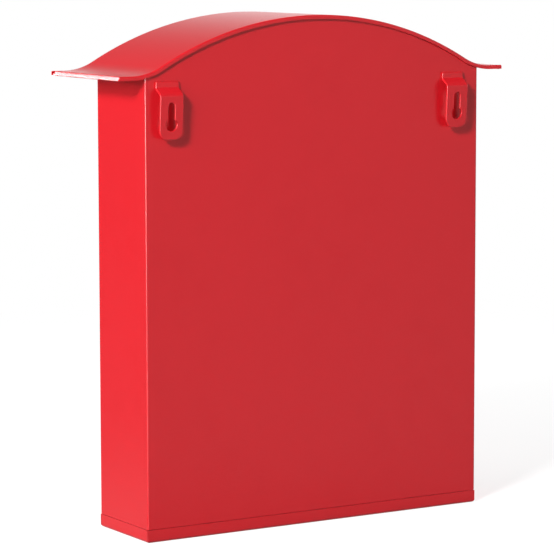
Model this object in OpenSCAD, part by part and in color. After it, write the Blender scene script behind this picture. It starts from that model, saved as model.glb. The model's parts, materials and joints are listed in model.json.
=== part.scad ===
// Wall letter box in folded sheet steel, with an arched roof and two keyhole hangers.
// Millimetres. The origin is the centre of the body's footprint, on its underside.
// +Z is up, the door faces -Y, and the hangers stand out of the back at +Y.

/* [Body] */
// Width of the body across its side walls
body_w = 320; // [240:1:420]
// Depth of the body from the front to the back panel
body_d = 80; // [64:1:160]
// Height of the roof's flat eaves above the underside
eave_h = 374; // [300:1:480]
// Thickness of the body's sheet
body_t = 0.8; // [0.6:0.1:1.2]
// Outer radius of the body's upright bends
body_bend_r = 1.5; // [1.4:0.1:3]
// Width of the lips that turn in beside the door
lip_w = 12; // [10:1:18]
// Gap between sheets that are spot-welded together
weld_gap = 0.1; // [0.05:0.05:0.2]
// Length of the tabs that turn in under the roof
tab_l = 12; // [8:1:16]
// Width of each tab
tab_w = 24; // [16:1:32]

/* [Roof] */
// Rise of the crown above the flat eaves
roof_rise = 45.2; // [30:0.1:60]
// Top radius of the reverse curve at each eave
eave_r = 52; // [30:1:70]
// Width of the flat strip along each eave
eave_flat = 11.7; // [6:0.1:16]
// How far each eave stands out past the side wall
side_overhang = 23.7; // [16:0.1:36]
// How far the roof stands out past the front
front_overhang = 34; // [10:1:50]
// How far the roof stands out past the back panel
rear_overhang = 2; // [1.5:0.1:5]
// Thickness of the roof's sheet
roof_t = 0.8; // [0.6:0.1:1.2]
// Height of the lip turned down round the roof
roof_lip = 3.3; // [3:0.1:8]
// Inner radius of the lip's bend
roof_bend_r = 0.5; // [0.3:0.1:1]
// How far each eave's lip leans out over its height
eave_lean = 1.8; // [0:0.1:3]
// Width of the slit between two lips at a corner
roof_slit = 1.8; // [0.5:0.1:2.5]

/* [Bottom pan] */
// Height of the pan's flush outer edge
pan_h = 10.5; // [8:0.5:16]
// Outer radius of the pan's lower bends
pan_bend_r = 2.5; // [1.5:0.1:4]
// How far the pan laps up inside the shell
pan_lap = 11; // [8:0.5:20]
// Gap of the seam between the pan and the shell
pan_seam = 0.4; // [0.2:0.1:0.8]
// Width of the slits between the pan's edges
pan_slit = 0.7; // [0.4:0.1:1]
// Radius of each drain hole
drain_r = 3; // [2:0.5:5]
// Distance of each drain hole from the side of the body
drain_side = 30; // [25:1:60]
// Distance of each drain hole from the front and from the back panel
drain_in = 16; // [14:1:24]

/* [Hangers] */
// Distance of the left hanger's middle from its side of the body
hanger_left_in = 19.5; // [18:0.5:40]
// Distance of the right hanger's middle from its side of the body
hanger_right_in = 26.5; // [18:0.5:40]
// Width of a hanger
hanger_w = 21; // [18:1:30]
// Thickness of a hanger
hanger_t = 2; // [1.5:0.1:2.5]
// Length of a hanger from its top edge to its lower end
hanger_l = 46; // [44:0.1:60]
// Height of a hanger's welded top strip
hanger_weld_h = 5.4; // [5:0.1:8]
// Height of the sloping step below the strip
hanger_step_h = 5.3; // [4:0.1:8]
// How far the step carries the leg away from the back panel
hanger_offset = 7.5; // [4:0.1:8]
// How far the leg leans back to the panel over its length
hanger_lean = 2.2; // [0:0.1:2.5]
// Inner radius of a hanger's bends
hanger_bend_r = 1.2; // [0.8:0.1:1.5]
// Corner radius of a hanger's lower end
hanger_corner_r = 7.5; // [4:0.5:9]
// Distance of a hanger's top edge below the eaves
hanger_drop = 4.8; // [3:0.1:20]
// Radius of the keyhole's round hole, which passes the screw's head
keyhole_r = 5; // [4:0.25:6]
// Width of the keyhole's slot, which holds the screw's shank
keyslot_w = 6; // [4:0.25:7]
// Distance from the keyhole's round centre down to the hanger's lower end
keyhole_up = 12.1; // [10:0.1:16]
// Length from the keyhole's round centre to the slot's upper end
keyslot_l = 17.4; // [12:0.1:20]

/* [Mail slot] */
// Height of the fascia from the door shelf up to the eaves
fascia_h = 76.5; // [74:0.5:100]
// Distance of the slot's ends from the sides of the body
slot_inset = 35; // [30:1:60]
// Height of the slot
slot_h = 32; // [20:1:34]
// Distance of the slot's lower edge above the door shelf
slot_up = 24; // [20:1:28]
// Corner radius of the slot
slot_r = 3; // [1:0.5:6]
// How far the flap laps over the slot at each end
flap_lap_x = 6; // [4:1:12]
// How far the flap laps over the slot below
flap_lap_z = 7; // [4:1:12]
// Distance of the rod's axis above the slot
rod_up = 8; // [7:1:10]
// Radius of the rod
rod_r = 1.5; // [1:0.1:2]
// Thickness of the brackets that hold the rod
bracket_t = 1.2; // [1:0.1:1.5]
// Length of a bracket's foot on the fascia
bracket_foot = 10; // [8:0.5:11]
// Length of the flap's turned-out finger edge
finger_l = 7; // [4:1:12]
// Slope of the finger edge from the flap's plane
finger_angle = 40; // [20:5:60]
// Gap between the flap and the fascia
flap_gap = 0.3; // [0.3:0.1:1]

/* [Door] */
// Depth of the door's turned-back edges
door_depth = 11; // [9:0.5:16]
// Gap beside the door
door_side_gap = 1; // [0.8:0.1:2]
// Gap above and below the door, which the hinge washers fill
door_end_gap = 1.5; // [1.2:0.1:3]
// Outer radius of the door's bends
door_bend_r = 1.2; // [1:0.1:2]
// Height or width of the stops behind the door's edges
stop_l = 12; // [8:1:16]
// Gap between the door's edges and the stops
stop_gap = 0.2; // [0.2:0.1:1]
// Distance of the hinge axis from the door's edge
hinge_in = 6; // [5:0.5:10]
// Gap between a hinge pin's tail and the fascia
hinge_gap = 0.3; // [0.2:0.1:0.8]
// Radius of a hinge pin
pin_r = 1.5; // [1.25:0.25:2]
// Radius of a hinge pin's head
pin_head_r = 2.9; // [2.5:0.1:3]
// Radial clearance of every turning fit
running_gap = 0.05; // [0.02:0.01:0.09]

/* [Lock] */
// Distance of the lock's axis from the door's free edge
lock_in = 25; // [20:1:40]
// Radius of the lock's threaded barrel
barrel_r = 9; // [8:0.5:11]
// Width of the barrel across its two flats
barrel_flat = 16; // [14:0.5:18]
// Radius of the barrel's face
barrel_head_r = 11; // [10:0.5:14]
// Thickness of the barrel's face
barrel_head_t = 1.8; // [1.2:0.1:3]
// Radius of the turning plug
plug_r = 6; // [5:0.5:7]
// Thickness of the cam
cam_t = 2; // [1.5:0.1:3]
// Width of the cam
cam_w = 14; // [12:1:18]
// How far the cam reaches from the lock's axis
cam_l = 26; // [22:1:34]
// Width of the square that drives the cam
cam_square = 6; // [5:0.5:7]
// Width of the lock nut across its flats
nut_flats = 22; // [20:1:28]
// Thickness of the lock nut
nut_t = 4; // [3:0.5:6]
// Width of the catch on the lock side, from the side wall
catch_w = 20; // [16:1:28]

/* [Hidden] */
$fn = 64;

coat = "#c8262e";
zinc = "#b4b8bc";
steel = "#8e9296";

// Facets on the wide roof curves
wide_fn = 720;
// How far a cut runs past what it cuts
cut = 1;
// Inner radius of the small sheet bends
fold_r = 0.4;
// Overlap at which two touching circles cross cleanly
blend = 0.01;

front_y = -body_d / 2;
back_y = body_d / 2;
side_x = body_w / 2;
tab_pitch = body_w / 4;

// Roof: the crown and the reverse curves share a tangent, which sets the crown's radius
roof_x = side_x + side_overhang;
curve_x = roof_x - eave_flat;
crown_r = (curve_x * curve_x + roof_rise * roof_rise) / (2 * roof_rise) - eave_r;
crest_z = eave_h + roof_rise;
crown_z = crest_z - crown_r;
eave_centre_z = eave_h + eave_r;
// Level below both the underside and the crown's centre
low_z = min(0, crown_z) - cut;
roof_front_y = front_y - front_overhang;
roof_back_y = back_y + rear_overhang;

// Plane of the stops behind the door
stop_y = front_y + door_depth + stop_gap;
shell_z = pan_h + pan_seam;
pan_inset = body_t + weld_gap;

// Door, between the pan and the shelf
shelf_z = eave_h - fascia_h;
door_x = side_x - lip_w - door_side_gap;
door_z = pan_h + door_end_gap;
door_top_z = shelf_z - door_end_gap;
door_h = door_top_z - door_z;
pin_head_t = 1.2;
pin_tail_t = 0.8;
pin_tail_lip = 1;
seat_gap = 0.1;
// Distance of the hinge axis behind the door's face
hinge_back = 2 * body_t + weld_gap + pin_r + pin_tail_lip + hinge_gap;
washer_in = 0.5;
hinge_x = -door_x + hinge_in;
hinge_y = front_y + hinge_back;
// The stops end beside the circle that the door's back corner sweeps
swing_gap = 1;
stop_x = hinge_x + length_of([hinge_in, door_depth - hinge_back]) + swing_gap;

// Fascia, mail slot and flap
fascia_y = front_y + body_t + weld_gap;
fascia_gap = 0.6;
fascia_x = side_x - body_t - fascia_gap;
slot_w = body_w - 2 * slot_inset;
slot_z = shelf_z + slot_up;
slot_top_z = slot_z + slot_h;
rod_z = slot_top_z + rod_up;
curl_r = rod_r + running_gap + body_t;
rod_y = fascia_y - flap_gap - curl_r;
rod_head_t = 1;
rod_head_lip = 1;
flap_x = slot_w / 2 + flap_lap_x;
flap_low_z = slot_z - flap_lap_z;
// Width of the curl's open side, at twice the curl's radius below the rod
curl_open = 1.5 * curl_r;
bracket_h = 16;
bracket_gap = 0.5;
bracket_wall = 2.5;

// Lock
lock_x = door_x - lock_in;
lock_z = door_z + door_h / 2;
cam_gap = 0.3;
cam_y = stop_y + body_t + cam_gap;
barrel_back_y = cam_y - cam_gap;
barrel_bevel = 0.6;
lock_hole_gap = 0.15;
plug_sink = 0.2;
plug_head_t = 1;
plug_head_r = plug_r + 1.5;
plug_face_y = front_y - barrel_head_t + plug_sink;
key_w = 1.4;
key_h = 7;
key_l = 7;
screw_r = 2;
screw_l = 8;
screw_gap = 0.02;
screw_end_gap = 1;
screw_head_r = 3.5;
screw_head_t = 2.4;
screw_slot_w = 1;
screw_slot_l = 1.2;
square_gap = 0.1;
tenon_short = 0.2;
washer_t = 1;

hanger_top_z = eave_h - hanger_drop;
hanger_low_z = hanger_top_z - hanger_l;
keyhole_z = hanger_low_z + keyhole_up;

// Carries each outline drawn in X and Z from y0 to y1
module along_y(y0, y1) {
    translate([0, y1, 0])
        rotate([90, 0, 0])
            for (i = [0:$children - 1])
                linear_extrude(y1 - y0)
                    children(i);
}

// Carries each outline drawn in Y and Z from x0 to x1
module along_x(x0, x1) {
    translate([x0, 0, 0])
        rotate([90, 0, 90])
            for (i = [0:$children - 1])
                linear_extrude(x1 - x0)
                    children(i);
}

// Carries each outline drawn in X and Y from z0 to z1
module along_z(z0, z1) {
    translate([0, 0, z0])
        for (i = [0:$children - 1])
            linear_extrude(z1 - z0)
                children(i);
}

function length_of(v) = sqrt(v[0] * v[0] + v[1] * v[1]);
function unit(v) = v / length_of(v);
function left_of(v) = [-v[1], v[0]];
function turning(a, b) = a[0] * b[1] - a[1] * b[0];
// Length that a bend of middle radius r takes off each leg beside it
function bend_trim(a, b, r) = r * tan(acos(min(1, a * b)) / 2);
// Point beside the corner between two headings, where lines side away from the path meet
function mitre(p, a, b, side) = p + unit(left_of(a + b)) * side / cos(acos(min(1, a * b)) / 2);

// Edge view of a sheet of thickness t, folded along its middle line with inner radius r
module folded(path, t, r) {
    last = len(path) - 1;
    mid_r = r + t / 2;
    heading = [for (i = [0:last - 1]) unit(path[i + 1] - path[i])];
    before = concat([heading[0]], heading);
    after = concat(heading, [heading[last - 1]]);
    trim = [for (i = [0:last]) bend_trim(before[i], after[i], mid_r)];
    side = [for (i = [0:last]) turning(before[i], after[i]) > 0 ? 1 : -1];
    from = [for (i = [0:last]) path[i] - before[i] * trim[i]];
    to = [for (i = [0:last]) path[i] + after[i] * trim[i]];
    centre = [for (i = [0:last]) from[i] + left_of(before[i]) * side[i] * mid_r];
    // Points of one face: the bend's centre and tangents inside a bend, and the mitre elsewhere
    face = [for (left = [1, -1]) [for (i = [0:last])
        each i > 0 && i < last && side[i] == left
            ? [from[i] + left_of(before[i]) * left * t / 2, centre[i],
                to[i] + left_of(after[i]) * left * t / 2]
            : [mitre(path[i], before[i], after[i], left * t / 2)]]];
    difference() {
        polygon(concat(face[0], [for (i = [len(face[1]) - 1:-1:0]) face[1][i]]));
        for (i = [1:last - 1]) {
            translate(centre[i])
                circle(r);
            difference() {
                polygon([centre[i], 2 * from[i] - centre[i], 2 * path[i] - centre[i], 2 * to[i] - centre[i]]);
                translate(centre[i])
                    circle(r + t);
            }
        }
    }
}

// Rectangle with true round corners, centred
module round_rect(w, h, r) {
    square([w - 2 * r, h], center = true);
    square([w, h - 2 * r], center = true);
    for (x = [-1, 1], y = [-1, 1])
        translate([x * (w / 2 - r), y * (h / 2 - r)])
            circle(r);
}

// Everything below the roof's top surface, moved inwards by depth, in X and Z.
// The crown's circle and each eave's circle touch on the line between their centres.
module below_roof(depth) {
    intersection() {
        translate([0, crown_z])
            circle(crown_r - depth, $fn = wide_fn);
        translate([-roof_x, low_z])
            square([2 * roof_x, crest_z - low_z]);
    }
    for (side = [-1, 1])
        difference() {
            polygon([[0, low_z], [0, crown_z], [side * curve_x, eave_centre_z],
                [side * curve_x, eave_h - depth], [side * roof_x, eave_h - depth], [side * roof_x, low_z]]);
            translate([side * curve_x, eave_centre_z])
                circle(eave_r + depth + blend, $fn = wide_fn);
        }
}

// Strip that follows the roof's top surface, from depth a to depth b below it
module roof_band(a, b) {
    difference() {
        below_roof(a);
        below_roof(b);
        translate([-roof_x - cut, low_z - cut])
            square([2 * (roof_x + cut), eave_h - b - low_z]);
    }
}

// Strip of sheet that follows the roof's underside, between x0 and x1 and y0 and y1
module roof_tab(x0, x1, y0, y1) {
    along_y(y0, y1)
        intersection() {
            roof_band(roof_t + weld_gap, roof_t + weld_gap + body_t);
            translate([x0, eave_h - roof_rise])
                square([x1 - x0, 3 * roof_rise]);
        }
}

// Plan of the body's sheet, without the gap for the door
module shell_plan() {
    difference() {
        round_rect(body_w, body_d, body_bend_r);
        round_rect(body_w - 2 * body_t, body_d - 2 * body_t, body_bend_r - body_t);
    }
}

// Back, both sides and the lips beside the door, folded from one sheet with tabs under the roof
module shell() {
    color(coat)
        union() {
            intersection() {
                along_z(shell_z, crest_z)
                    difference() {
                        shell_plan();
                        translate([-side_x + lip_w, front_y - cut])
                            square([body_w - 2 * lip_w, body_t + 2 * cut]);
                    }
                along_y(front_y - cut, back_y + cut)
                    below_roof(roof_t + weld_gap);
            }
            for (i = [-1:1])
                roof_tab(i * tab_pitch - tab_w / 2, i * tab_pitch + tab_w / 2, back_y - tab_l,
                    back_y - body_t / 2);
            roof_tab(side_x - tab_l, side_x - body_t / 2, -tab_w, tab_w);
            roof_tab(-side_x + body_t / 2, -side_x + tab_l, -tab_w, tab_w);
        }
}

// Block of the bottom pan's outside with everything moved inwards by inset, open at the top
module pan_block(inset, top_z) {
    r = pan_bend_r - inset;
    w = body_w - 2 * inset;
    d = body_d - 2 * inset;
    h = 2 * (top_z - inset);
    intersection() {
        along_y(-d / 2, d / 2)
            intersection() {
                translate([0, top_z])
                    round_rect(w, h, r);
                translate([-w / 2, 0])
                    square([w, top_z]);
            }
        along_x(-w / 2, w / 2)
            intersection() {
                translate([0, top_z])
                    round_rect(d, h, r);
                translate([-d / 2, 0])
                    square([d, top_z]);
            }
    }
}

// Floor with flush edges, a lap up inside the shell on three sides and a door sill in front
module bottom_pan() {
    lap_top_z = pan_h + pan_lap;
    sill_x = side_x - pan_inset - body_t - pan_slit;
    sill_rise = stop_l - door_end_gap - body_t;
    lap_front_y = stop_y + body_t + pan_slit;
    lap_x = side_x - pan_inset - body_t;
    slit_y = back_y - body_t - pan_slit;
    drain_x = side_x - drain_side;
    drain_y = back_y - drain_in;
    color(coat)
        difference() {
            union() {
                difference() {
                    pan_block(0, pan_h);
                    pan_block(body_t, pan_h + cut);
                    for (x = [-1, 1], y = [-slit_y - pan_slit, slit_y])
                        translate([x * side_x - cut, y, body_t * 2])
                            cube([2 * cut, pan_slit, pan_h]);
                }
                for (x = [-side_x + body_t / 2, lap_x])
                    translate([x, lap_front_y, pan_h - body_t])
                        cube([pan_inset + body_t / 2, slit_y - lap_front_y, body_t]);
                for (x = [-side_x + pan_inset, lap_x])
                    translate([x, lap_front_y, pan_h - body_t])
                        cube([body_t, slit_y - pan_inset - lap_front_y, pan_lap + body_t]);
                translate([-sill_x, back_y - pan_inset - body_t, pan_h - body_t])
                    cube([2 * sill_x, pan_inset + body_t / 2, body_t]);
                translate([-sill_x, back_y - pan_inset - body_t, pan_h - body_t])
                    cube([2 * sill_x, body_t, lap_top_z - pan_h + body_t]);
                along_x(-sill_x, sill_x)
                    folded([[front_y + body_t / 2, pan_h / 2], [front_y + body_t / 2, pan_h - body_t / 2],
                        [stop_y + body_t / 2, pan_h - body_t / 2], [stop_y + body_t / 2, pan_h + sill_rise]],
                        body_t, fold_r);
            }
            translate([-sill_x - cut, stop_y - 2 * fold_r, pan_h])
                cube([stop_x + sill_x + cut, body_t + 4 * fold_r, stop_l]);
            translate([hinge_x, hinge_y, pan_h - body_t - cut])
                cylinder(h = body_t + 2 * cut, r = pin_r + running_gap);
            for (x = [-1, 1], y = [-1, 1])
                translate([x * drain_x, y * drain_y, -cut])
                    cylinder(h = body_t + 2 * cut, r = drain_r);
        }
}

// Rolled sheet: crown arc, reverse arcs and flat eaves, with its lip turned down all round
module roof() {
    end_in = roof_t + roof_slit;
    mid_z = eave_h - roof_t / 2;
    lip_x = roof_x - roof_t / 2;
    fold_x = lip_x - eave_lean;
    lip_heading = unit([eave_lean, eave_h - roof_lip - mid_z]);
    flat_x = fold_x - bend_trim([1, 0], lip_heading, roof_bend_r + roof_t / 2);
    color(coat)
        union() {
            along_y(roof_front_y, roof_back_y)
                intersection() {
                    roof_band(0, roof_t);
                    translate([-flat_x, 0])
                        square([2 * flat_x, crest_z + cut]);
                }
            for (y = [roof_front_y, roof_back_y - roof_t])
                along_y(y, y + roof_t)
                    roof_band(0, roof_lip);
            along_y(roof_front_y + end_in, roof_back_y - end_in)
                for (side = [-1, 1])
                    folded([[side * curve_x, mid_z], [side * fold_x, mid_z],
                        [side * lip_x, eave_h - roof_lip]], roof_t, roof_bend_r);
        }
}

// Strip stepped away from the back panel, with a keyhole in its leg and its middle at x
module hanger(x) {
    weld_low_z = hanger_top_z - hanger_weld_h;
    leg_z = weld_low_z - hanger_step_h;
    mid_y = back_y + hanger_t / 2;
    leg_y = mid_y + hanger_offset;
    body_h = hanger_l - hanger_corner_r;
    color(coat)
        difference() {
            intersection() {
                along_x(x - hanger_w / 2, x + hanger_w / 2)
                    folded([[mid_y, hanger_top_z], [mid_y, weld_low_z], [leg_y, leg_z],
                        [leg_y - hanger_lean, hanger_low_z - cut]], hanger_t, hanger_bend_r);
                along_y(back_y - cut, leg_y + hanger_t + cut)
                    translate([x, hanger_low_z + hanger_l]) {
                        translate([-hanger_w / 2, -body_h])
                            square([hanger_w, body_h + cut]);
                        translate([-hanger_w / 2 + hanger_corner_r, -hanger_l])
                            square([hanger_w - 2 * hanger_corner_r, hanger_l]);
                        for (side = [-1, 1])
                            translate([side * (hanger_w / 2 - hanger_corner_r), -body_h])
                                circle(hanger_corner_r);
                    }
            }
            along_y(back_y - cut, leg_y + hanger_t + cut)
                translate([x, keyhole_z]) {
                    circle(keyhole_r);
                    translate([-keyslot_w / 2, 0])
                        square([keyslot_w, keyslot_l - keyslot_w / 2]);
                    translate([0, keyslot_l - keyslot_w / 2])
                        circle(keyslot_w / 2);
                }
        }
}

module hanger_left() {
    hanger(side_x - hanger_left_in);
}

module hanger_right() {
    hanger(-side_x + hanger_right_in);
}

// Upper front sheet with the mail slot, folded at its lower edge into the shelf and the door's top stop
module fascia() {
    mid_y = fascia_y + body_t / 2;
    shelf_mid_z = shelf_z + body_t / 2;
    color(coat)
        difference() {
            union() {
                intersection() {
                    along_x(-fascia_x, fascia_x)
                        folded([[mid_y, crest_z], [mid_y, shelf_mid_z], [stop_y + body_t / 2, shelf_mid_z],
                            [stop_y + body_t / 2, door_top_z - stop_l]], body_t, fold_r);
                    along_y(fascia_y - cut, back_y)
                        below_roof(roof_t + weld_gap);
                }
                for (i = [-1:1])
                    roof_tab(i * tab_pitch - tab_w / 2, i * tab_pitch + tab_w / 2, mid_y, fascia_y + tab_l);
            }
            along_y(fascia_y - cut, fascia_y + body_t + cut)
                translate([0, slot_z + slot_h / 2])
                    round_rect(slot_w, slot_h, slot_r);
            translate([-fascia_x - cut, stop_y - 2 * fold_r, shelf_z - 2 * stop_l])
                cube([stop_x + fascia_x + cut, body_t + 4 * fold_r, 2 * stop_l]);
            translate([hinge_x, hinge_y, shelf_z - cut])
                cylinder(h = body_t + 2 * cut, r = pin_r + running_gap);
        }
}

// Mail flap with its upper edge rolled round the rod and its lower edge turned out for a finger
module flap() {
    plate_y = rod_y + curl_r - body_t / 2;
    bend_z = flap_low_z + finger_l * cos(finger_angle);
    color(coat)
        along_x(-flap_x, flap_x) {
            translate([rod_y, rod_z])
                difference() {
                    circle(curl_r);
                    circle(rod_r + running_gap);
                    polygon([[0, 0], [curl_open / 2, -2 * curl_r], [-curl_open / 2, -2 * curl_r]]);
                }
            folded([[plate_y, rod_z], [plate_y, bend_z],
                [plate_y - finger_l * sin(finger_angle), flap_low_z]], body_t, fold_r);
        }
}

// Wire rod with a formed head outside each bracket
module flap_rod() {
    head_x = flap_x + bracket_gap + bracket_t + weld_gap;
    color(zinc)
        union() {
            along_x(-head_x, head_x)
                translate([rod_y, rod_z])
                    circle(rod_r);
            for (x = [-head_x - rod_head_t, head_x])
                along_x(x, x + rod_head_t)
                    translate([rod_y, rod_z])
                        circle(rod_r + rod_head_lip);
        }
}

// Angle whose foot lies on the fascia below the rod and whose ear holds the rod's end.
// It is drawn for the right end, and the left one is its mirror image.
module flap_bracket() {
    ear_x = flap_x + bracket_gap;
    ear_r = rod_r + bracket_wall;
    mid_y = fascia_y - bracket_t / 2;
    color(coat)
        difference() {
            intersection() {
                along_z(rod_z - bracket_h, rod_z + ear_r)
                    folded([[ear_x + bracket_foot, mid_y], [ear_x + bracket_t / 2, mid_y],
                        [ear_x + bracket_t / 2, rod_y - ear_r]], bracket_t, fold_r);
                along_x(ear_x - cut, ear_x + bracket_foot + cut) {
                    translate([rod_y, rod_z])
                        circle(ear_r);
                    polygon([[rod_y, rod_z + ear_r], [fascia_y, rod_z + ear_r], [fascia_y, rod_z - bracket_h],
                        [fascia_y - bracket_t, rod_z - bracket_h], [rod_y - ear_r, rod_z]]);
                }
            }
            along_x(ear_x - cut, ear_x + bracket_t + cut)
                translate([rod_y, rod_z])
                    circle(rod_r + running_gap);
            translate([ear_x + bracket_t, rod_y - ear_r, rod_z - ear_r])
                cube([bracket_foot, 3 * ear_r, 2 * ear_r + cut]);
        }
}

module flap_bracket_left() {
    mirror([1, 0, 0])
        flap_bracket();
}

module flap_bracket_right() {
    flap_bracket();
}

// Block of the door's outside moved inwards by inset, open at the back
module door_block(inset, back) {
    r = door_bend_r - inset;
    w = 2 * (door_x - inset);
    h = door_h - 2 * inset;
    face_y = front_y + inset;
    intersection() {
        along_z(door_z, door_top_z)
            intersection() {
                translate([0, face_y + h / 2])
                    round_rect(w, h, r);
                translate([-w / 2, face_y])
                    square([w, back - face_y]);
            }
        along_x(-w / 2, w / 2)
            intersection() {
                translate([face_y + w / 2, lock_z])
                    round_rect(w, h, r);
                translate([face_y, lock_z - h / 2])
                    square([back - face_y, h]);
            }
    }
}

// Outline of the barrel's body, a circle with two flats, grown by gap
module barrel_outline(gap) {
    intersection() {
        circle(barrel_r + gap);
        square([2 * barrel_r + cut, barrel_flat + 2 * gap], center = true);
    }
}

// Pan-shaped door, open at its corners, with the lock's hole and two hinge holes
module door() {
    back = front_y + door_depth;
    color(coat)
        difference() {
            door_block(0, back);
            door_block(body_t, back + cut);
            for (x = [-1, 1], z = [door_z - cut, door_top_z - body_t - cut])
                translate([x * (door_x - body_t - pan_slit / 2) - pan_slit / 2, front_y + 2 * body_t, z])
                    cube([pan_slit, door_depth, body_t + 2 * cut]);
            along_y(front_y - cut, front_y + body_t + cut)
                translate([lock_x, lock_z])
                    barrel_outline(lock_hole_gap);
            for (z = [door_z - cut, door_top_z - body_t - cut])
                translate([hinge_x, hinge_y, z])
                    cylinder(h = body_t + 2 * cut, r = pin_r + running_gap);
        }
}

// Headed pin through the door's edge, the washer and the sheet beyond, with its tail closed over
module hinge_pin() {
    door_in = body_t + seat_gap;
    sheet_out = door_end_gap + body_t + seat_gap;
    color(zinc)
        union() {
            translate([0, 0, door_in])
                cylinder(h = pin_head_t, r = pin_head_r);
            translate([0, 0, -sheet_out])
                cylinder(h = sheet_out + door_in, r = pin_r);
            translate([0, 0, -sheet_out - pin_tail_t])
                cylinder(h = pin_tail_t, r = pin_r + pin_tail_lip);
        }
}

module hinge_pin_lower() {
    translate([hinge_x, hinge_y, door_z])
        hinge_pin();
}

module hinge_pin_upper() {
    translate([hinge_x, hinge_y, door_top_z])
        mirror([0, 0, 1])
            hinge_pin();
}

// Spacer between the door and the sheet beyond, with its lower face at z
module hinge_washer(z) {
    color(zinc)
        translate([hinge_x, hinge_y, z])
            difference() {
                cylinder(h = door_end_gap - 2 * seat_gap, r = hinge_back - washer_in);
                translate([0, 0, -cut])
                    cylinder(h = door_end_gap + 2 * cut, r = pin_r + running_gap);
            }
}

module hinge_washer_lower() {
    hinge_washer(pan_h + seat_gap);
}

module hinge_washer_upper() {
    hinge_washer(door_top_z + seat_gap);
}

// Angle inside the lock side: stop for the door's free edge and catch for the cam
module lock_stile() {
    leg_x = side_x - pan_inset - body_t / 2;
    end_gap = 1.5;
    color(coat)
        along_z(pan_h + pan_lap + end_gap, door_top_z - stop_l - end_gap)
            folded([[leg_x, front_y + 2 * body_t], [leg_x, stop_y + body_t / 2],
                [side_x - pan_inset - catch_w, stop_y + body_t / 2]], body_t, fold_r);
}

// Places an outline drawn in X and Z on the lock's axis and carries it from y0 to y1
module on_lock(y0, y1) {
    translate([lock_x, 0, lock_z])
        along_y(y0, y1)
            children();
}

// Threaded lock body with two flats, a bevelled face and a stepped bore
module lock_barrel() {
    face_y = front_y - barrel_head_t;
    seat_y = plug_face_y + plug_head_t + seat_gap;
    color(zinc)
        difference() {
            union() {
                on_lock(face_y + barrel_bevel, front_y)
                    circle(barrel_head_r);
                translate([lock_x, face_y + barrel_bevel, lock_z])
                    rotate([90, 0, 0])
                        cylinder(h = barrel_bevel, r1 = barrel_head_r, r2 = barrel_head_r - barrel_bevel);
                on_lock(front_y, barrel_back_y)
                    barrel_outline(0);
            }
            on_lock(face_y - cut, seat_y)
                circle(plug_head_r + running_gap);
            on_lock(face_y - cut, barrel_back_y + cut)
                circle(plug_r + running_gap);
        }
}

// Hex nut that clamps the barrel behind the door's skin
module lock_nut() {
    nut_y = front_y + body_t;
    color(zinc)
        difference() {
            on_lock(nut_y, nut_y + nut_t)
                circle(nut_flats / sqrt(3), $fn = 6);
            on_lock(nut_y - cut, nut_y + nut_t + cut)
                circle(barrel_r + running_gap);
        }
}

// Turning core with the key slot in front and a square tenon behind
module lock_plug() {
    color(steel)
        difference() {
            union() {
                on_lock(plug_face_y, plug_face_y + plug_head_t)
                    circle(plug_head_r);
                on_lock(plug_face_y, cam_y)
                    circle(plug_r);
                on_lock(cam_y, cam_y + cam_t - tenon_short)
                    square(cam_square, center = true);
            }
            on_lock(plug_face_y - cut, plug_face_y + key_l)
                square([key_w, key_h], center = true);
            on_lock(cam_y + cam_t - screw_l, cam_y + cam_t + cut)
                circle(screw_r);
        }
}

// Flat cam with round ends, hanging from the plug's square
module lock_cam() {
    tip = cam_l - cam_w / 2;
    color(zinc)
        difference() {
            on_lock(cam_y, cam_y + cam_t)
                union() {
                    circle(cam_w / 2);
                    translate([-cam_w / 2, -tip])
                        square([cam_w, tip]);
                    translate([0, -tip])
                        circle(cam_w / 2);
                }
            on_lock(cam_y - cut, cam_y + cam_t + cut)
                square(cam_square + 2 * square_gap, center = true);
        }
}

// Washer that holds the cam on its square
module cam_washer() {
    color(zinc)
        difference() {
            on_lock(cam_y + cam_t, cam_y + cam_t + washer_t)
                circle(cam_square);
            on_lock(cam_y + cam_t - cut, cam_y + cam_t + washer_t + cut)
                circle(screw_r + running_gap);
        }
}

// Slotted screw into the back of the plug
module cam_screw() {
    head_y = cam_y + cam_t + washer_t;
    color(zinc)
        difference() {
            union() {
                on_lock(head_y, head_y + screw_head_t)
                    circle(screw_head_r);
                on_lock(cam_y + cam_t - screw_l + screw_end_gap, head_y)
                    circle(screw_r - screw_gap);
            }
            on_lock(head_y + screw_head_t - screw_slot_l, head_y + screw_head_t + cut)
                square([2 * screw_head_r + cut, screw_slot_w], center = true);
        }
}

shell();
bottom_pan();
roof();
hanger_left();
hanger_right();
fascia();
flap();
flap_rod();
flap_bracket_left();
flap_bracket_right();
door();
hinge_pin_lower();
hinge_pin_upper();
hinge_washer_lower();
hinge_washer_upper();
lock_stile();
lock_barrel();
lock_nut();
lock_plug();
lock_cam();
cam_washer();
cam_screw();
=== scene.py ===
"""Looks of a wall letter box in folded, powder-coated sheet steel.

The rolled roof, the lock's barrel and nut, and the rounded edges of the other pieces are made here, with
the finishes, the floor, the light and the camera.
"""

import json
import math

import bmesh
import bpy
import numpy as np
from mathutils import Matrix, Vector


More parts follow.
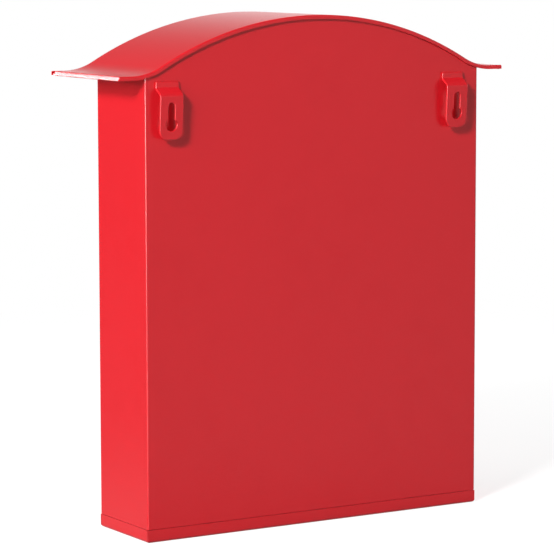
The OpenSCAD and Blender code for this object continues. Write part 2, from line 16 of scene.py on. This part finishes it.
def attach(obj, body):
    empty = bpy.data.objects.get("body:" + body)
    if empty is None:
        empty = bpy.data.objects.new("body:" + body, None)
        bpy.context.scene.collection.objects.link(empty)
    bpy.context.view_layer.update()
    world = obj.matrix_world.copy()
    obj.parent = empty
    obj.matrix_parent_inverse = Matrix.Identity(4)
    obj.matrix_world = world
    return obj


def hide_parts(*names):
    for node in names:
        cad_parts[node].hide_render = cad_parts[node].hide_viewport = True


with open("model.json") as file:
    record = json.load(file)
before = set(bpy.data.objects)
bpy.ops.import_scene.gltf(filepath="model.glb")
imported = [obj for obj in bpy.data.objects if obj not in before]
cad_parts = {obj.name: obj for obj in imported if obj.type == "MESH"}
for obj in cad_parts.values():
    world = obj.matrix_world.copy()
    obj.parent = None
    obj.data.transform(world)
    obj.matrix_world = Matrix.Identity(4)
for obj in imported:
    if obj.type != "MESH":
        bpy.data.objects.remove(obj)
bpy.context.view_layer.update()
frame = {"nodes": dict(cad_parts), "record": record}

MM = 0.001
WHITE = (1, 1, 1, 1)

# Roof, in millimetres
EAVE_H = 374.0
ROOF_RISE = 45.2
EAVE_R = 52.0
EAVE_FLAT = 11.7
ROOF_X = 183.7
ROOF_FRONT_Y = -74.0
ROOF_BACK_Y = 42.0
ROOF_T = 0.8
ROOF_LIP = 3.3
ROOF_BEND = 1.3
ROOF_LEAN = 1.8
ROOF_SLIT = 1.8

# The roof's crown is an arc about a centre below it. It runs on, with the same tangent, into an arc
# about a centre above the eave, and that one into the flat. Angles are in radians.
CURVE_X = ROOF_X - EAVE_FLAT
CROWN_R = (CURVE_X ** 2 + ROOF_RISE ** 2) / (2 * ROOF_RISE) - EAVE_R
CROWN_Z = EAVE_H + ROOF_RISE - CROWN_R
CROWN_TURN = math.asin(CURVE_X / (CROWN_R + EAVE_R))
# The first points stand this far off the crest, so that the chord over it stays as low as the CAD mesh
CREST_TURN = 0.017

# Points of the roof along its crown, reverse curve and flat eave, then across its span, bends and lips
CROWN_POINTS = 70
CURVE_POINTS = 40
FLAT_POINTS = 6
SPAN_POINTS = 40
BEND_POINTS = 7
LIP_POINTS = 4

# Lock's axis, in millimetres
LOCK_X = 122.0
LOCK_Z = 154.0

# Lock's barrel, in millimetres: radii from the axis and places along Y
BARREL_R = 9.0
BARREL_FLAT = 16.0
BARREL_HEAD_R = 11.0
BARREL_BEVEL = 0.6
BARREL_EASE = 0.12
BORE_R = 6.05
SEAT_R = 7.55
FACE_Y = -41.8
SEAT_Y = -40.5
DOOR_Y = -40.0
BARREL_END_Y = -28.0
THREAD_PITCH = 1.0
THREAD_DEPTH = 0.5
THREAD_FADE = 0.8
BARREL_STEPS = 96
THREAD_POINTS = 97
EASE_POINTS = 4

# Lock's nut, in millimetres
NUT_FLATS = 22.0
NUT_FACE_R = 10.45
NUT_CUT = 1.4
NUT_BORE_R = 9.05
NUT_BORE_BEVEL = 0.35
NUT_FRONT_Y = -39.2
NUT_BACK_Y = -35.2
NUT_STEPS = 144
CUT_POINTS = 9

# Radius in millimetres to which coat and plating round the edges of each piece, and the steps round it
EDGE_R = {"hanger_left": 0.7, "hanger_right": 0.7, "door": 0.2, "flap": 0.2, "fascia": 0.2,
          "lock_stile": 0.2, "flap_bracket_left": 0.2, "flap_bracket_right": 0.2, "flap_rod": 0.2,
          "hinge_pin_lower": 0.3, "hinge_pin_upper": 0.3, "lock_plug": 0.12, "lock_cam": 0.25,
          "cam_washer": 0.15, "cam_screw": 0.25}
EDGE_STEPS = 3

# Edges between faces at more than this angle are sharp, in degrees
SHARP_ANGLE = 35
# Faces of a CAD mesh at less than this angle, in degrees, are one flat, and points this near, in metres,
# are one point
FLAT_ANGLE = 0.3
WELD_REACH = 1e-6

# The two colours that each finish drifts between, and the height of its relief in metres
COAT_REDS = (0.64, 0.008, 0.015, 1), (0.69, 0.012, 0.021, 1)
ZINC_GREYS = (0.42, 0.43, 0.45, 1), (0.62, 0.63, 0.66, 1)
NICKEL_GREYS = (0.60, 0.58, 0.55, 1), (0.72, 0.70, 0.67, 1)
FLOOR_GREYS = (0.36, 0.36, 0.36, 1), (0.39, 0.39, 0.39, 1)
COAT_RELIEF = 0.00002
ZINC_RELIEF = 0.00001
NICKEL_RELIEF = 0.000006

# Camera, fitted to the photo's edges: azimuth, elevation and roll in degrees, place and sight in metres,
# lens and sensor in millimetres
CAMERA_ANGLES = (31.565, 6.903, -0.087)
CAMERA_PLACE = (1.252533, 2.016117, 0.488031)
CAMERA_SIGHT = 100
CAMERA_LENS = 186.563
CAMERA_SENSOR = 36

# Fades are given as the values at which they start and end, then the levels that they go from and to.

# Floor: its rings in metres, where it fades to white, its glow for the camera, the share of that glow in
# reflections from in front of the box to behind it, and how much darker they are from front to back
FLOOR_RINGS = (0.5, 1.0, 2.0, 4.0, 8.0)
FLOOR_STEPS = 96
FLOOR_FADE = (0.35, 1.3, 0.0, 1.0)
FLOOR_GLOW = 0.74
FLOOR_GLOSS = (-0.3, 0.5, 0.05, 0.8)
FLOOR_DIM = (-0.6, -0.1, 0.45, 0.0)

# Room: its even light, the direction towards its bright side, and the fades of its reflections towards
# that side and with height
ROOM_FILL = 0.12
ROOM_BRIGHT = (-0.64, 0, -0.75)
ROOM_SIDE = (-0.12, 0.36, 0.18, 1.6)
ROOM_HEIGHT = (0.0, 0.12, 0.65, 1.0)

# Lamps: name, place and size in metres, level, whether reflections show it, whether it lights surfaces
LAMPS = [("key", (2.60, 1.68, 1.90), (0.6, 0.6), 0.96, True, True),
         ("side", (3.30, 0.45, 1.05), (2.2, 1.0), 0.44, True, True),
         ("strip", (2.70, 1.89, 0.42), (0.7, 0.8), 1.3, True, False),
         ("rim", (1.44, -3.04, 1.64), (0.6, 0.6), 0.38, True, False),
         ("front", (-2.3, -2.7, 0.8), (2.0, 1.4), 0.85, False, True),
         ("top", (0.3, 0.2, 3.4), (1.6, 1.6), 0.16, False, True),
         ("fill", (-3.0, 0.8, 1.0), (1.4, 1.4), 0.08, False, True)]
LAMP_AIM = (0, 0, 0.2)


def add_object(name, data):
    """New object in the scene."""
    made = bpy.data.objects.new(name, data)
    bpy.context.scene.collection.objects.link(made)
    return made


def add_mesh(name, points, faces):
    """Puts points in millimetres and faces into a new mesh, shaded smooth."""
    mesh = bpy.data.meshes.new(name)
    mesh.from_pydata((np.asarray(points, float) * MM).tolist(), [], np.asarray(faces).tolist())
    mesh.validate()
    smooth(mesh)
    return add_object(name, mesh)


def smooth(mesh):
    """Shades a mesh smooth, apart from its sharp edges."""
    mesh.polygons.foreach_set("use_smooth", np.ones(len(mesh.polygons), bool))
    mesh.set_sharp_from_angle(angle=math.radians(SHARP_ANGLE))


def settle(piece, kind, **settings):
    """Applies one modifier of that kind to a piece."""
    added = piece.modifiers.new(kind.lower(), kind)
    for key, value in settings.items():
        setattr(added, key, value)
    bpy.context.view_layer.update()
    shown = piece.evaluated_get(bpy.context.evaluated_depsgraph_get())
    mesh = bpy.data.meshes.new_from_object(shown)
    piece.modifiers.clear()
    piece.data = mesh
    return mesh


def stand_for(piece, node):
    """Lets a piece take a CAD node's place, with its body, slot and finish."""
    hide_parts(node)
    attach(piece, body_of[node])
    piece.data.materials.clear()
    piece.data.materials.append(finishes[slot_of[node]])


def number_points(rows, columns):
    """Numbers of a grid's points, row by row."""
    return np.arange(rows * columns).reshape(rows, columns)


def grid_faces(index):
    """Quads between numbered points, each turned from its row direction to its column direction."""
    return np.stack([index[:-1, :-1], index[1:, :-1], index[1:, 1:], index[:-1, 1:]], -1)


def turns(steps):
    """Angles of that many even steps round a circle."""
    return np.linspace(0, 2 * math.pi, steps + 1)[:-1]


def half_crown(end_x):
    """Top curve of the roof, from near its crest out to end_x on the flat eave.

    The crown's arc is its centre plus its radius along the normal, and the reverse arc is its centre
    above the eave less its radius along the normal. Gives x, z and the normal's x and z.
    """
    up = np.linspace(CREST_TURN, CROWN_TURN, CROWN_POINTS)
    down = np.linspace(CROWN_TURN, 0, CURVE_POINTS)[1:]
    flat = np.linspace(CURVE_X, end_x, FLAT_POINTS)[1:]
    x = np.concatenate([CROWN_R * np.sin(up), CURVE_X - EAVE_R * np.sin(down), flat])
    z = np.concatenate([CROWN_Z + CROWN_R * np.cos(up), EAVE_H + EAVE_R - EAVE_R * np.cos(down),
                        0 * flat + EAVE_H])
    lean = np.concatenate([up, down, 0 * flat])
    return x, z, np.sin(lean), np.cos(lean)


def make_roof():
    """Rolled sheet with its lip turned down all round.

    The surface is a grid. Along it runs the top curve from eave to eave. Across it runs the sheet from
    the front lip's lower edge, up round the bend, over to the rear bend and down to the rear lip's edge.
    Each point lies its depth below the top curve, along the curve's normal. Past the flat eave the
    middle of the grid turns down into the end lip, the front and rear lips run straight on, and the
    faces of the slits between them are left out.
    """
    bend = np.linspace(0, math.pi / 2, BEND_POINTS)[1:]
    lip = np.linspace(ROOF_BEND, ROOF_LIP, LIP_POINTS)[1:]

    # Past the eave: the end lip's bend stops short of square, so that the lip leans out on its way down
    steep = math.atan2(ROOF_LIP - ROOF_T / 2, ROOF_LEAN)
    part = bend * steep / (math.pi / 2)
    bent_x, bent_z = ROOF_BEND * math.sin(steep), ROOF_BEND * (1 - math.cos(steep))
    fall = np.linspace(bent_z, ROOF_LIP, LIP_POINTS)[1:]
    flat_x = ROOF_X - bent_x - (ROOF_LIP - bent_z) / math.tan(steep)
    end_x = flat_x + np.concatenate([ROOF_BEND * np.sin(part),
                                     bent_x + (fall - bent_z) / math.tan(steep)])
    end_z = EAVE_H - np.concatenate([ROOF_BEND * (1 - np.cos(part)), fall])
    run_x = np.linspace(flat_x, ROOF_X, len(end_x) + 1)[1:]

    # Across the sheet: how far in from its edge and how far below the top curve each point lies
    edge_y = np.concatenate([0 * lip, ROOF_BEND * (1 - np.sin(bend[::-1])), [ROOF_BEND]])
    edge_depth = np.concatenate([lip[::-1], ROOF_BEND * (1 - np.cos(bend[::-1])), [0.0]])
    start, stop = ROOF_FRONT_Y + ROOF_T + ROOF_SLIT, ROOF_BACK_Y - ROOF_T - ROOF_SLIT
    span = np.linspace(start, stop, SPAN_POINTS)
    y = np.concatenate([ROOF_FRONT_Y + edge_y, span, ROOF_BACK_Y - edge_y[::-1]])
    depth = np.concatenate([edge_depth, 0 * span, edge_depth[::-1]])
    hook = len(edge_y)
    middle = slice(hook, hook + len(span))

    x, z, nx, nz = half_crown(flat_x)
    past_x = np.repeat(run_x[:, None], len(y), 1)
    past_z = EAVE_H - np.repeat(depth[None], len(run_x), 0)
    past_x[:, middle] = end_x[:, None]
    past_z[:, middle] = end_z[:, None]
    half_x = np.concatenate([x[:, None] - depth[None] * nx[:, None], past_x])
    half_z = np.concatenate([z[:, None] - depth[None] * nz[:, None], past_z])
    grid_x = np.concatenate([-half_x[::-1], half_x])
    grid_z = np.concatenate([half_z[::-1], half_z])
    points = np.stack([grid_x, np.broadcast_to(y, grid_x.shape), grid_z], -1)

    faces = grid_faces(number_points(*grid_x.shape))
    keep = np.ones(faces.shape[:2], bool)
    past = len(run_x)
    for slit in (hook - 1, hook + len(span) - 1):
        keep[:past, slit] = False
        keep[-past:, slit] = False
    roof = add_mesh("roof_sheet", points.reshape(-1, 3), faces[keep])
    smooth(settle(roof, "SOLIDIFY", thickness=ROOF_T * MM, offset=-1, use_even_offset=True,
                  use_quality_normals=True))
    stand_for(roof, "roof")


def round_lock(name, node, radius, y):
    """Closed ring about the lock's axis.

    Radius and y hold the section's points by row and the angles by column. The section runs from the
    front face's bore outward, back along the outside, in across the back and forward through the bore,
    so that the faces look outward.
    """
    angle = turns(radius.shape[1])
    points = np.stack([LOCK_X + radius * np.cos(angle), y, LOCK_Z + radius * np.sin(angle)], -1)
    index = number_points(*radius.shape)
    index = np.concatenate([index, index[:1]])
    index = np.concatenate([index, index[:, :1]], 1)
    stand_for(add_mesh(name, points.reshape(-1, 3), grid_faces(index).reshape(-1, 4)), node)


def eased(corners):
    """Section of straight runs whose corners are rounded.

    Each curve is a parabola that starts and ends BARREL_EASE from its corner, along the two runs.
    """
    corners = np.array(corners, float)
    before, after = np.roll(corners, 1, 0), np.roll(corners, -1, 0)
    points = []
    for corner, back, on in zip(corners, before, after):
        start = corner + (back - corner) * BARREL_EASE / np.linalg.norm(back - corner)
        end = corner + (on - corner) * BARREL_EASE / np.linalg.norm(on - corner)
        for t in np.linspace(0, 1, EASE_POINTS):
            points.append((1 - t) ** 2 * start + 2 * t * (1 - t) * corner + t ** 2 * end)
    return np.array(points)


def make_barrel():
    """Lock body: a bevelled face, a stepped bore and an outside thread cut away by two flats.

    The thread's depth rises and falls along a straight-sided wave of the place along Y less the turn
    about the axis, so its crest is a helix. It fades out at the barrel's end.
    """
    # The last corner of the face and the first of the back only give their neighbours a direction
    face = eased([(SEAT_R, FACE_Y), (BARREL_HEAD_R - BARREL_BEVEL, FACE_Y),
                  (BARREL_HEAD_R, FACE_Y + BARREL_BEVEL), (BARREL_HEAD_R, DOOR_Y),
                  (BORE_R, DOOR_Y)])[:-EASE_POINTS]
    back = eased([(BARREL_R, DOOR_Y), (BORE_R, BARREL_END_Y), (BORE_R, SEAT_Y),
                  (SEAT_R, SEAT_Y)])[EASE_POINTS:]

    angle = turns(BARREL_STEPS)
    y = np.linspace(DOOR_Y, BARREL_END_Y, THREAD_POINTS)[:, None]
    wave = np.abs(2 * ((y / THREAD_PITCH - angle / (2 * math.pi)) % 1) - 1)
    fade = np.clip((BARREL_END_Y - y) / THREAD_FADE, 0, 1)
    thread = BARREL_R - THREAD_DEPTH * (1 - (1 - wave) * fade)
    # The flats lie above and below the axis. Beside it they cut nothing, and the sine is kept off zero.
    thread = np.minimum(thread, BARREL_FLAT / 2 / np.maximum(np.abs(np.sin(angle)), 0.1))

    ones = np.ones(len(angle))
    radius = np.concatenate([face[:, :1] * ones, thread, back[:, :1] * ones])
    along = np.concatenate([face[:, 1:] * ones, y * ones, back[:, 1:] * ones])
    round_lock("lock_barrel_thread", "lock_barrel", radius, along)


def make_nut():
    """Hex nut whose corners are cut by a flat cone at each face.

    The outside is the nearer of the hexagon, half its flats over the cosine of the angle off a flat's
    middle, and the cone, which widens by the root of three for each step in from the face.
    """
    angle = turns(NUT_STEPS)
    across = NUT_FLATS / 2 / np.cos((angle + math.pi) % (math.pi / 3) - math.pi / 6)
    cone = np.linspace(0, NUT_CUT, CUT_POINTS)
    y = np.concatenate([NUT_FRONT_Y + cone, (NUT_BACK_Y - cone)[::-1]])
    inward = np.concatenate([cone, cone[::-1]])
    outside = np.minimum(across[None], NUT_FACE_R + inward[:, None] * math.sqrt(3))
    bore = [(NUT_BORE_R + NUT_BORE_BEVEL, NUT_BACK_Y), (NUT_BORE_R, NUT_BACK_Y - NUT_BORE_BEVEL),
            (NUT_BORE_R, NUT_FRONT_Y + NUT_BORE_BEVEL), (NUT_BORE_R + NUT_BORE_BEVEL, NUT_FRONT_Y)]
    ones = np.ones(len(angle))
    radius = np.concatenate([outside, [r * ones for r, _ in bore]])
    along = np.concatenate([y[:, None] * ones, [at * ones for _, at in bore]])
    round_lock("lock_nut_hex", "lock_nut", radius, along)


def soften(node, reach):
    """Copy of a CAD node whose edges are rounded over reach millimetres.

    Its loose triangles are merged and joined into flats first, so that only real edges are rounded.
    """
    source = frame["nodes"][node].data
    corners = np.zeros(len(source.vertices) * 3)
    source.vertices.foreach_get("co", corners)
    rough = bpy.data.meshes.new(node)
    rough.from_pydata(corners.reshape(-1, 3).tolist(), [],
                      [list(face.vertices) for face in source.polygons])
    shape = bmesh.new()
    shape.from_mesh(rough)
    bmesh.ops.remove_doubles(shape, verts=shape.verts, dist=WELD_REACH)
    bmesh.ops.dissolve_limit(shape, angle_limit=math.radians(FLAT_ANGLE), verts=shape.verts,
                             edges=shape.edges)
    mesh = bpy.data.meshes.new(f"{node}_soft")
    shape.to_mesh(mesh)
    shape.free()
    mesh.polygons.foreach_set("use_smooth", np.ones(len(mesh.polygons), bool))
    piece = add_object(mesh.name, mesh)
    settle(piece, "BEVEL", width=reach * MM, segments=EDGE_STEPS, limit_method="ANGLE",
           angle_limit=math.radians(SHARP_ANGLE), use_clamp_overlap=False, harden_normals=True,
           miter_outer="MITER_ARC")
    stand_for(piece, node)


class Wire:
    """A socket in a finish. Arithmetic on it adds Math nodes."""

    def __init__(self, finish, socket):
        self.finish = finish
        self.socket = socket

    def math(self, operation, *values):
        return self.finish.node("ShaderNodeMath", {"operation": operation}, dict(enumerate(values)))

    def __add__(self, other):
        return self.math("ADD", self, other)

    def __mul__(self, other):
        return self.math("MULTIPLY", self, other)

    __radd__ = __add__
    __rmul__ = __mul__


class Finish:
    """Nodes of a material or of the world, with one shader at their end."""

    def __init__(self, owner):
        self.owner = owner
        owner.use_nodes = True
        self.tree = owner.node_tree
        self.tree.nodes.clear()

    def node(self, kind, settings=None, inputs=None, output=0):
        """Adds a node: its settings first, then the values or links of its sockets."""
        made = self.tree.nodes.new(kind)
        for key, value in (settings or {}).items():
            setattr(made, key, value)
        for key, value in (inputs or {}).items():
            if isinstance(value, Wire):
                self.tree.links.new(value.socket, made.inputs[key])
            else:
                made.inputs[key].default_value = value
        return Wire(self, made.outputs[output]) if made.outputs else None

    def place(self):
        """Object coordinates, in metres of the box."""
        return self.node("ShaderNodeTexCoord", output="Object")

    def mapped(self, **inputs):
        """Object coordinates, scaled and then moved."""
        return self.node("ShaderNodeMapping", inputs={"Vector": self.place(), **inputs})

    def noise(self, place, scale, detail):
        """Noise from 0 to 1 whose features are about 1 / scale metres wide."""
        return self.node("ShaderNodeTexNoise", inputs={
            "Vector": place, "Scale": scale, "Detail": detail, "Roughness": 0.5})

    def length(self, vector):
        """Length of a vector."""
        return self.node("ShaderNodeVectorMath", {"operation": "LENGTH"}, {0: vector}, output=1)

    def part(self, vector, axis):
        """One of a vector's three parts."""
        return self.node("ShaderNodeSeparateXYZ", inputs={0: vector}, output=axis)

    def ray(self, kind):
        """1 for rays of one kind, such as Is Camera Ray."""
        return self.node("ShaderNodeLightPath", output=kind)

    def blend(self, mask, first, second):
        """Colour that goes from first to second as mask goes from 0 to 1."""
        return self.node("ShaderNodeMix", {"data_type": "RGBA"}, {0: mask, 6: first, 7: second},
                         output=2)

    def fade(self, value, start, end, first, last):
        """Smooth step from first to last as value goes from start to end."""
        return self.node("ShaderNodeMapRange", {"interpolation_type": "SMOOTHSTEP"}, {
            "Value": value, "From Min": start, "From Max": end, "To Min": first, "To Max": last})

    def seen(self, gloss):
        """1 for rays from the camera or through glass, gloss for reflections, 0 for other light."""
        camera = self.ray("Is Camera Ray")
        glossy = self.ray("Is Glossy Ray")
        through = self.ray("Is Transmission Ray")
        return camera.math("MAXIMUM", camera.math("MAXIMUM", camera, through), glossy * gloss)

    def bump(self, height, relief):
        """Normal of a surface whose height, from 0 to 1, stands for relief metres."""
        return self.node("ShaderNodeBump", inputs={"Height": height, "Distance": relief,
                                                   "Strength": 1.0})

    def shine(self, kind, strength, colour=WHITE):
        """Shader of the Emission or Background kind."""
        return self.node(kind, inputs={"Color": colour, "Strength": strength})

    def mix(self, mask, first, second=None):
        """Shader that goes from first to second, or to black without one, as mask goes from 0 to 1."""
        shaders = {1: first} if second is None else {1: first, 2: second}
        return self.node("ShaderNodeMixShader", inputs={0: mask, **shaders})

    def surface(self, **inputs):
        """Ends the finish in a Principled shader and gives back the material."""
        names = {key.replace("_", " "): value for key, value in inputs.items()}
        shader = self.node("ShaderNodeBsdfPrincipled", inputs=names)
        self.node("ShaderNodeOutputMaterial", inputs={"Surface": shader})
        return self.owner


def coat_finish():
    """Satin powder coat: a fine peel, fine grains of powder, and a slow drift in gloss and shade."""
    coat = Finish(bpy.data.materials.new("red powder coat"))
    spot = coat.place()
    drift = coat.noise(spot, scale=7, detail=3)
    peel = coat.noise(spot, scale=520, detail=2)
    grain = coat.noise(spot, scale=2400, detail=1)
    shade = coat.blend(drift * 0.5 + grain * 0.5, *COAT_REDS)
    height = peel * 0.8 + grain * 0.2
    return coat.surface(Base_Color=shade, Roughness=0.25 + drift * 0.03 + grain * 0.03,
                        Specular_IOR_Level=0.4, Normal=coat.bump(height, COAT_RELIEF))


def zinc_finish():
    """Zinc plate with a fine drawn grain and cloudy patches."""
    zinc = Finish(bpy.data.materials.new("zinc plate"))
    cloud = zinc.noise(zinc.place(), scale=260, detail=4)
    grain = zinc.noise(zinc.mapped(Scale=(30, 1200, 1200)), scale=1, detail=2)
    shade = zinc.blend(cloud, *ZINC_GREYS)
    return zinc.surface(Base_Color=shade, Metallic=1.0, Roughness=0.28 + cloud * 0.16,
                        Normal=zinc.bump(grain, ZINC_RELIEF))


def nickel_finish():
    """Nickel plate with faint turning rings about the lock's axis."""
    nickel = Finish(bpy.data.materials.new("nickel plate"))
    off_axis = nickel.mapped(Location=(-LOCK_X * MM, 0, -LOCK_Z * MM), Scale=(1, 0, 1))
    out = nickel.node("ShaderNodeCombineXYZ", inputs={0: nickel.length(off_axis)})
    rings = nickel.noise(out, scale=3500, detail=2)
    cloud = nickel.noise(nickel.place(), scale=400, detail=3)
    shade = nickel.blend(cloud, *NICKEL_GREYS)
    return nickel.surface(Base_Color=shade, Metallic=1.0, Roughness=0.2 + rings * 0.08 + cloud * 0.06,
                          Normal=nickel.bump(rings, NICKEL_RELIEF))


def floor_finish():
    """Matt pale floor that fades to white further out, and is darker in reflections from the front."""
    paper = Finish(bpy.data.materials.new("pale floor"))
    spot = paper.place()
    back = paper.part(spot, "Y")
    seen = paper.seen(paper.fade(back, *FLOOR_GLOSS))
    grain = paper.noise(spot, scale=60, detail=3)
    matt = paper.node("ShaderNodeBsdfDiffuse", inputs={"Color": paper.blend(grain, *FLOOR_GREYS)})
    glow = paper.shine("ShaderNodeEmission", seen * FLOOR_GLOW)
    near = paper.node("ShaderNodeAddShader", inputs={0: matt, 1: glow})
    white = paper.shine("ShaderNodeEmission", 1.0)
    far = paper.fade(paper.length(spot), *FLOOR_FADE)
    shown = paper.mix(far * seen, near, white)
    dimmed = paper.mix(paper.ray("Is Glossy Ray") * paper.fade(back, *FLOOR_DIM), shown)
    paper.node("ShaderNodeOutputMaterial", inputs={"Surface": dimmed})
    return paper.owner


def add_floor():
    """Round floor under the box: a fan of triangles about its middle, then rings of quads."""
    angle = turns(FLOOR_STEPS)
    ring = np.stack([np.cos(angle), np.sin(angle), 0 * angle], -1)
    rings = np.array(FLOOR_RINGS)[:, None, None] * ring[None]
    points = np.concatenate([[[0, 0, 0]], rings.reshape(-1, 3)])
    index = 1 + number_points(len(FLOOR_RINGS), FLOOR_STEPS)
    index = np.concatenate([index, index[:, :1]], 1)
    fan = [[0, a, b] for a, b in zip(index[0], index[0, 1:])]
    mesh = bpy.data.meshes.new("floor")
    mesh.from_pydata(points.tolist(), [], fan + grid_faces(index).reshape(-1, 4).tolist())
    mesh.materials.append(floor_finish())
    add_object("floor", mesh)


def set_world():
    """Even fill light, a white backdrop, and reflections that brighten towards one side of the room."""
    world = bpy.data.worlds.new("backdrop")
    bpy.context.scene.world = world
    sky = Finish(world)
    spot = sky.node("ShaderNodeTexCoord", output="Generated")
    side = sky.node("ShaderNodeVectorMath", {"operation": "DOT_PRODUCT"}, {0: spot, 1: ROOM_BRIGHT},
                    output=1)
    mirrored = sky.fade(side, *ROOM_SIDE) * sky.fade(sky.part(spot, "Z"), *ROOM_HEIGHT)
    glow = sky.blend(sky.seen(0.0), mirrored, WHITE)
    fill = sky.shine("ShaderNodeBackground", ROOM_FILL)
    shown = sky.mix(sky.seen(1.0), fill, sky.shine("ShaderNodeBackground", glow))
    sky.node("ShaderNodeOutputWorld", inputs={"Surface": shown})


def add_lamp(name, position, size, level, in_gloss, in_shade):
    """Lamp aimed at the box.

    Level is how bright it makes a white surface that faces it, 1 being white. Its power is the level
    times pi squared times the square of its distance.
    """
    away = Vector(LAMP_AIM) - Vector(position)
    lamp = bpy.data.lights.new(name, "AREA")
    lamp.shape = "RECTANGLE"
    lamp.size, lamp.size_y = size
    lamp.energy = level * math.pi ** 2 * away.length ** 2
    holder = add_object(name, lamp)
    holder.location = position
    holder.rotation_euler = away.to_track_quat("-Z", "Y").to_euler()
    holder.visible_glossy = in_gloss
    holder.visible_diffuse = in_shade


def set_camera():
    """Camera at the photograph's angle: from behind and the left end, a little above the middle."""
    azimuth, elevation, roll = [math.radians(angle) for angle in CAMERA_ANGLES]
    ahead = Vector((-math.sin(azimuth) * math.cos(elevation),
                    -math.cos(azimuth) * math.cos(elevation), -math.sin(elevation)))
    level_right = ahead.cross(Vector((0, 0, 1))).normalized()
    level_up = level_right.cross(ahead)
    right = level_right * math.cos(roll) + level_up * math.sin(roll)
    up = level_up * math.cos(roll) - level_right * math.sin(roll)
    lens = bpy.data.cameras.new("camera")
    lens.sensor_width = CAMERA_SENSOR
    lens.lens = CAMERA_LENS
    lens.clip_end = CAMERA_SIGHT
    turned = Matrix((right, up, -ahead)).transposed().to_4x4()
    turned.translation = CAMERA_PLACE
    camera = add_object("camera", lens)
    camera.matrix_world = turned
    bpy.context.scene.camera = camera


set_camera()
set_world()
add_floor()
for lamp in LAMPS:
    add_lamp(*lamp)

finishes = {"red_coat": coat_finish(), "zinc": zinc_finish(), "lock_metal": nickel_finish()}
slot_of = {part["node"]: part["material_slot"] for part in frame["record"]["subparts"]}
body_of = {name: body for body, names in frame["record"]["behaviour"]["bodies"].items()
           for name in names}
for name, node in frame["nodes"].items():
    node.data.materials.clear()
    node.data.materials.append(finishes[slot_of[name]])

make_roof()
make_barrel()
make_nut()
for name, reach in EDGE_R.items():
    soften(name, reach)

bpy.context.scene.view_settings.view_transform = "Standard"
